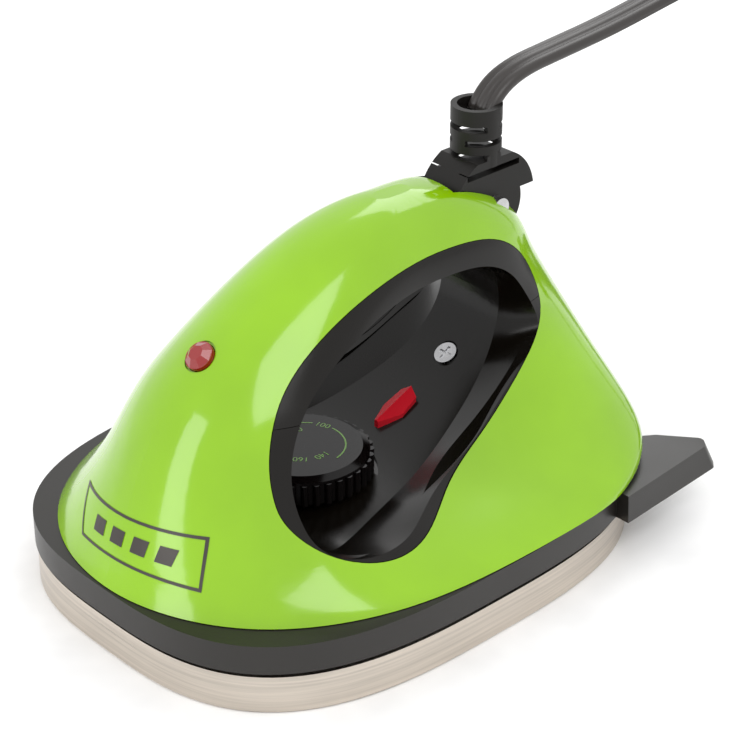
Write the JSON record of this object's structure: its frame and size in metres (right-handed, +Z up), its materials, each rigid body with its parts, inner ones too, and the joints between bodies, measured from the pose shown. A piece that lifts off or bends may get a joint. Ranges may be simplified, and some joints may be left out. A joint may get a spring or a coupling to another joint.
{
  "type": "waxing iron",
  "caption": "Electric ski waxing iron with a thick polished sole, a handle moulded in one with the body over a see-through grip opening, a dial, a pilot lamp and a swivelling cord guard.",
  "frame": {"origin": "middle of the sole face, at the table", "axes": "+Z up, +X towards the nose, +Y to the left of someone holding it nose forwards"},
  "size_m": [0.3825, 0.1102, 0.1074],
  "materials": {
    "sole": "brushed, warm silver",
    "black_seal": "matte",
    "steel": "satin",
    "screw_steel": "satin",
    "black_plastic": "fine satin",
    "green_shell": "gloss",
    "black_gloss": "gloss",
    "red_pointer": "satin",
    "red_lens": "clear, faceted",
    "lamp_glass": "clear",
    "ceramic": "glazed",
    "brass": "satin",
    "fabric_sleeve": "woven",
    "wire_black": "satin",
    "wire_white": "satin",
    "wire_green": "satin",
    "cord_rubber": "satin",
    "guard_rubber": "matte"
  },
  "bodies": {
    "iron": {"base_collar": "black_plastic", "cord_clamp": "black_plastic", "cord_coil": "cord_rubber", "cord_cores": "wire_white", "cord_tail": "cord_rubber", "cord_tie": "guard_rubber", "earth_screw": "screw_steel", "earth_tag": "brass", "element_clamps": "steel", "element_pins": "steel", "element_screws": "screw_steel", "fuse_sleeve": "fabric_sleeve", "ground_pin": "brass", "handle_liner": "black_plastic", "heat_shield": "steel", "heating_element": "steel", "lamp_holder": "black_plastic", "lamp_resistor": "ceramic", "mains_cord": "cord_rubber", "neon_lamp": "lamp_glass", "panel_screw": "screw_steel", "pilot_lens": "red_lens", "plug_blades": "brass", "plug_body": "guard_rubber", "plug_lead": "cord_rubber", "red_pointer": "red_pointer", "saddle_panel": "black_gloss", "shell_screws": "screw_steel", "sole_gasket": "black_seal", "sole_plate": "sole", "sole_screws": "screw_steel", "spindle_bush": "brass", "terminal_block": "ceramic", "terminal_screws": "brass", "thermal_fuse": "steel", "thermostat_bimetal": "steel", "thermostat_blade": "brass", "thermostat_bracket": "steel", "thermostat_contacts": "brass", "thermostat_insulators": "ceramic", "thermostat_rivet": "brass", "upper_shell": "green_shell", "wire_earth": "wire_green", "wire_heater": "wire_white", "wire_line": "wire_black", "wire_neutral": "wire_white", "wire_switch": "wire_white"},
    "dial": {"dial_knob": "black_gloss", "dial_spindle": "brass", "dial_clip": "steel"},
    "guard": {"cord_guard": "guard_rubber", "guard_pins": "steel", "guard_cord": "cord_rubber"}
  },
  "joints": [
    {"name": "dial_turn", "type": "hinge", "parent": "iron", "child": "dial", "pos_m": [0.01, 0, 0.022], "axis": [0, 0, 1], "range_deg": [-135, 135]},
    {"name": "cord_guard_swivel", "type": "hinge", "parent": "iron", "child": "guard", "pos_m": [-0.042, 0, 0.0705], "axis": [0, 1, 0], "range_deg": [-25, 25]}
  ]
}
